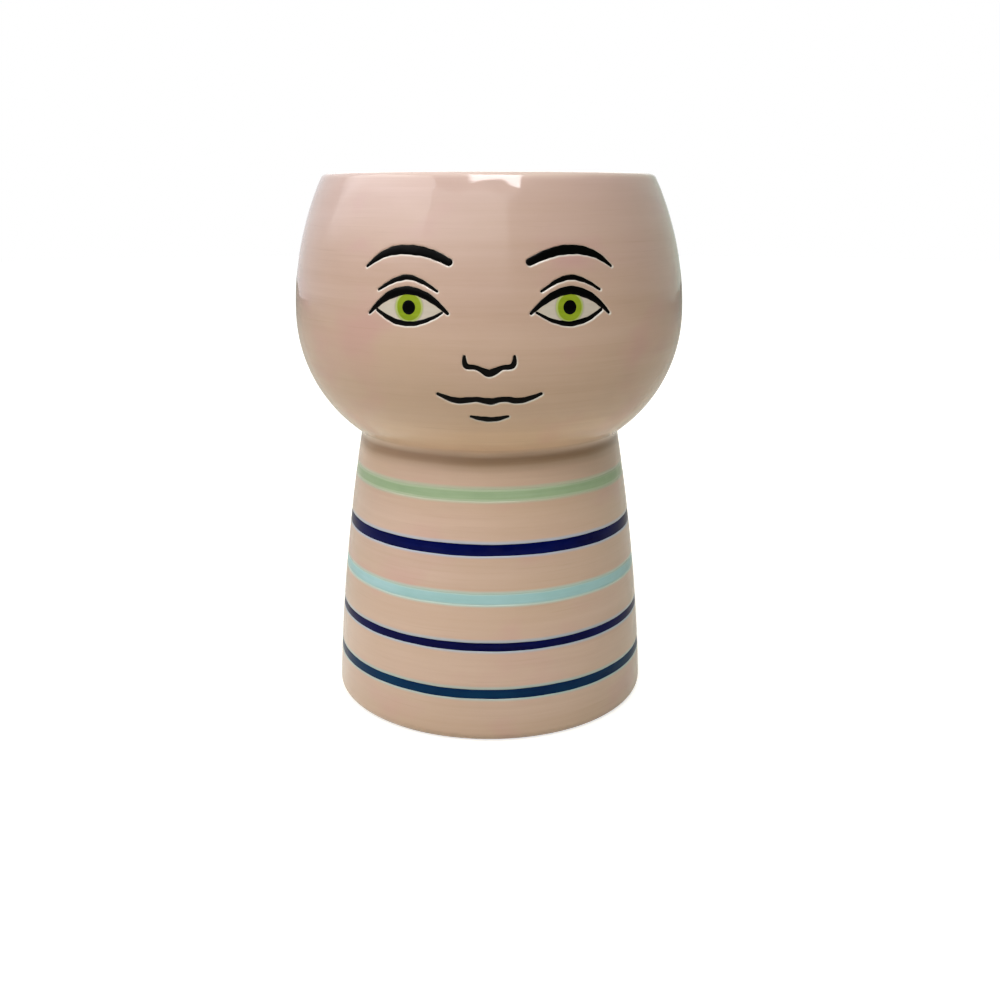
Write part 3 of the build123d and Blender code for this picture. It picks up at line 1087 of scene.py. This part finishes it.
head_piece()
neck_piece()
for name, height_share, width, _ in bands:
    slot = name.removeprefix("thin_").replace("_band", "_glaze")
    band_piece(name, height_share, width, slot)
for turn, fills in face_groups:
    for name, outline, kind in fills:
        fill_piece(name, outline, turn, kind)

# Floor, light and camera, in metres, with azimuths from the front to +X

# The floor: its colours near the vase and farther off, how it whitens there for the camera,
# and how bright it is in reflections, by azimuth
floor_waver = 0.01
floor_colours = ((0.63, 0.59, 0.50), (0.69, 0.64, 0.55))
floor_colour_span = (0.08, 0.24)
floor_white_span = (0.2, 1.2, 0.72, 1.0)
far_glow_spans = ((-0.50, -0.56, 0.16, 0.28), (-1.1, -1.9, 1.0, 0.3), (0.15, 0.35, 1.0, 0.4))
near_glow_spans = ((-0.9, -1.5), (-2.5, -2.1))
near_glow = 0.16
near_glow_rise = 0.12
near_glow_end = (0.142, 0.150, 1.0, 0.0)

# The room: where reflections see white behind the vase, its tones at the right and the left,
# and tones laid over them, each with the axes and spans where it comes in
white_span = (0.955, 0.975)
room_side_span = (0.0, -1.0)
room_tones = ((0.09, 0.13, 0.12), (0.31, 0.33, 0.36))
room_layers = (
    ((("Y", 0.15, 0.9), ("X", -0.2, 0.3)), (0.58, 0.65, 0.58)),
    ((("Y", 0.15, 0.9), ("X", 0.2, -0.3)), (0.80, 0.81, 0.84)),
    ((("Z", -0.1, -0.3),), (0.60, 0.59, 0.57)),
)

# Lamps: azimuth, elevation, distance, size, power, colour, shares of the size over which it
# fades at its left, right, lower and upper edge, roll, and whether it stands upright
white = (1.0, 1.0, 1.0)
lamps = (
    ("window_lamp", -79, 40, 1.2, (1.45, 1.1), 11.8, white, (0.1, 0.02, 0.5, 0.02), 0, True),
    ("wall_lamp", -14.2, 32, 1.1, (0.97, 0.9), 3.2, white, (0.03, 0.1, 0.5, 0.1), 0, True),
    ("top_lamp", 5, 60, 1.2, (0.62, 0.42), 9.4, (1.0, 0.98, 1.0), (0.1, 0.1, 0.1, 0.1), -7, False),
    ("back_lamp", 180, 30, 1.3, (1.1, 0.9), 5.0, white, (0.3, 0.3, 0.3, 0.3), 0, False),
)
lamp_target = Vector((0, 0, 0.11))


def seen_indirectly(rays):
    """1 for what is seen in a reflection or through something clear."""
    return maths("MAXIMUM", rays.outputs["Is Glossy Ray"], rays.outputs["Is Transmission Ray"])


def floor_material():
    """Pale floor that looks white in the open and keeps the vase's shadow."""
    material, tree, where = new_material("pale_floor")
    away = add_node(tree, "VectorMath", {0: where}, operation="LENGTH").outputs["Value"]
    stray = spread(noise(where, "floor_grain"), -floor_waver, floor_waver)
    away = maths("ADD", away, stray)
    colour = mix(tree, remap(away, *floor_colour_span), *floor_colours)
    paint = add_node(tree, "BsdfDiffuse", {"Color": colour})
    parts = add_node(tree, "SeparateXYZ", {"Vector": where})
    forwards = maths("MULTIPLY", parts.outputs["Y"], -1.0)
    azimuth = maths("ARCTAN2", parts.outputs["X"], forwards)
    far_off = product([(azimuth, *span) for span in far_glow_spans])
    near = product([(azimuth, *span) for span in near_glow_spans])
    near = maths("ADD", maths("MULTIPLY", near, near_glow_rise), near_glow)
    near = maths("MULTIPLY", near, remap(away, *near_glow_end))
    rays = add_node(tree, "LightPath")
    direct = remap(away, *floor_white_span)
    direct = maths("MULTIPLY", rays.outputs["Is Camera Ray"], direct)
    mirrored = maths("MAXIMUM", near, far_off)
    mirrored = maths("MULTIPLY", seen_indirectly(rays), mirrored)
    strength = maths("ADD", direct, mirrored)
    glow = add_node(tree, "Emission", {"Color": (*white, 1), "Strength": strength})
    both = add_node(tree, "AddShader", {0: paint.outputs[0], 1: glow.outputs[0]})
    clear = add_node(tree, "BsdfTransparent")
    from_below = add_node(tree, "NewGeometry").outputs["Backfacing"]
    inputs = {0: from_below, 1: both.outputs[0], 2: clear.outputs[0]}
    shader = add_node(tree, "MixShader", inputs)
    add_node(tree, "OutputMaterial", {"Surface": shader.outputs[0]})
    return material


def make_floor(radius=3.0, clearance=0.5):
    """A round floor, left open under the foot ring, so that light reaches the underside."""
    mesh = bpy.data.meshes.new("floor")
    inner_radius = (foot_radius - foot_rounding - clearance) * MM
    angles = np.linspace(0, 2 * pi, columns, endpoint=False)
    points = [(r * cos(a), r * sin(a), 0) for r in (radius, inner_radius) for a in angles]
    mesh.from_pydata(points, [], ring_faces(2, columns, False))
    shape = bmesh.new()
    shape.from_mesh(mesh)
    if shape.faces[:][0].normal.z < 0:
        bmesh.ops.reverse_faces(shape, faces=shape.faces)
    shape.to_mesh(mesh)
    shape.free()
    mesh.materials.append(floor_material())
    floor = bpy.data.objects.new("floor", mesh)
    bpy.context.scene.collection.objects.link(floor)


def make_world():
    """White to the camera, and to reflections the room, with white behind the vase."""
    world = bpy.data.worlds.new("studio")
    bpy.context.scene.world = world
    world.use_nodes = True
    tree = world.node_tree
    tree.nodes.clear()
    rays = add_node(tree, "LightPath")
    where = add_node(tree, "TexCoord").outputs["Generated"]
    parts = add_node(tree, "SeparateXYZ", {"Vector": where})
    behind = remap(parts.outputs["Y"], *white_span)
    backdrop = maths("MULTIPLY", seen_indirectly(rays), behind)
    seen = maths("MAXIMUM", rays.outputs["Is Camera Ray"], backdrop)
    room = mix(tree, remap(parts.outputs["X"], *room_side_span), *room_tones)
    for spans, tone in room_layers:
        amount = product([(parts.outputs[axis], *span) for axis, *span in spans])
        room = mix(tree, amount, room, tone)
    colour = mix(tree, seen, room, white)
    shade = add_node(tree, "Background", {"Color": colour, "Strength": 1.0})
    add_node(tree, "OutputWorld", {"Surface": shade.outputs[0]})


def softbox(name, azimuth, elevation, distance, size, power, colour, fade, roll, upright):
    """An oblong lamp that looks at the vase's middle, or stands upright and looks level."""
    a, e = radians(azimuth), radians(elevation)
    way = Vector((sin(a) * cos(e), -cos(a) * cos(e), sin(e)))
    data = bpy.data.lights.new(name, "AREA")
    data.shape = "RECTANGLE"
    data.size, data.size_y = size
    data.energy = power
    data.color = colour
    data.use_nodes = True
    tree = data.node_tree
    tree.nodes.clear()
    place_on_lamp = add_node(tree, "NewGeometry").outputs["Parametric"]
    parts = add_node(tree, "SeparateXYZ", {"Vector": place_on_lamp})
    strength = product([
        (parts.outputs[axis], edge, abs(edge - share))
        for axis, edge, share in zip("XXYY", (0.0, 1.0, 0.0, 1.0), fade)
    ])
    glow = add_node(tree, "Emission", {"Strength": strength})
    add_node(tree, "OutputLight", {"Surface": glow.outputs[0]})
    lamp = bpy.data.objects.new(name, data)
    lamp.location = lamp_target + way * distance
    if upright:
        way.z = 0.0
    turned = (-way).to_track_quat("-Z", "Y").to_matrix() @ Matrix.Rotation(radians(roll), 3, "Z")
    lamp.rotation_euler = turned.to_euler()
    bpy.context.scene.collection.objects.link(lamp)


make_floor()
make_world()
for lamp in lamps:
    softbox(*lamp)

camera_data = bpy.data.cameras.new("camera")
camera_data.sensor_width = 36
camera_data.lens = 39.571
camera = bpy.data.objects.new("camera", camera_data)
camera.location = (0, -0.4078, 0.1862)
camera.rotation_euler = (radians(90 - 15.66), 0, radians(-0.5536))
bpy.context.scene.collection.objects.link(camera)
bpy.context.scene.camera = camera
bpy.context.scene.view_settings.view_transform = "Standard"
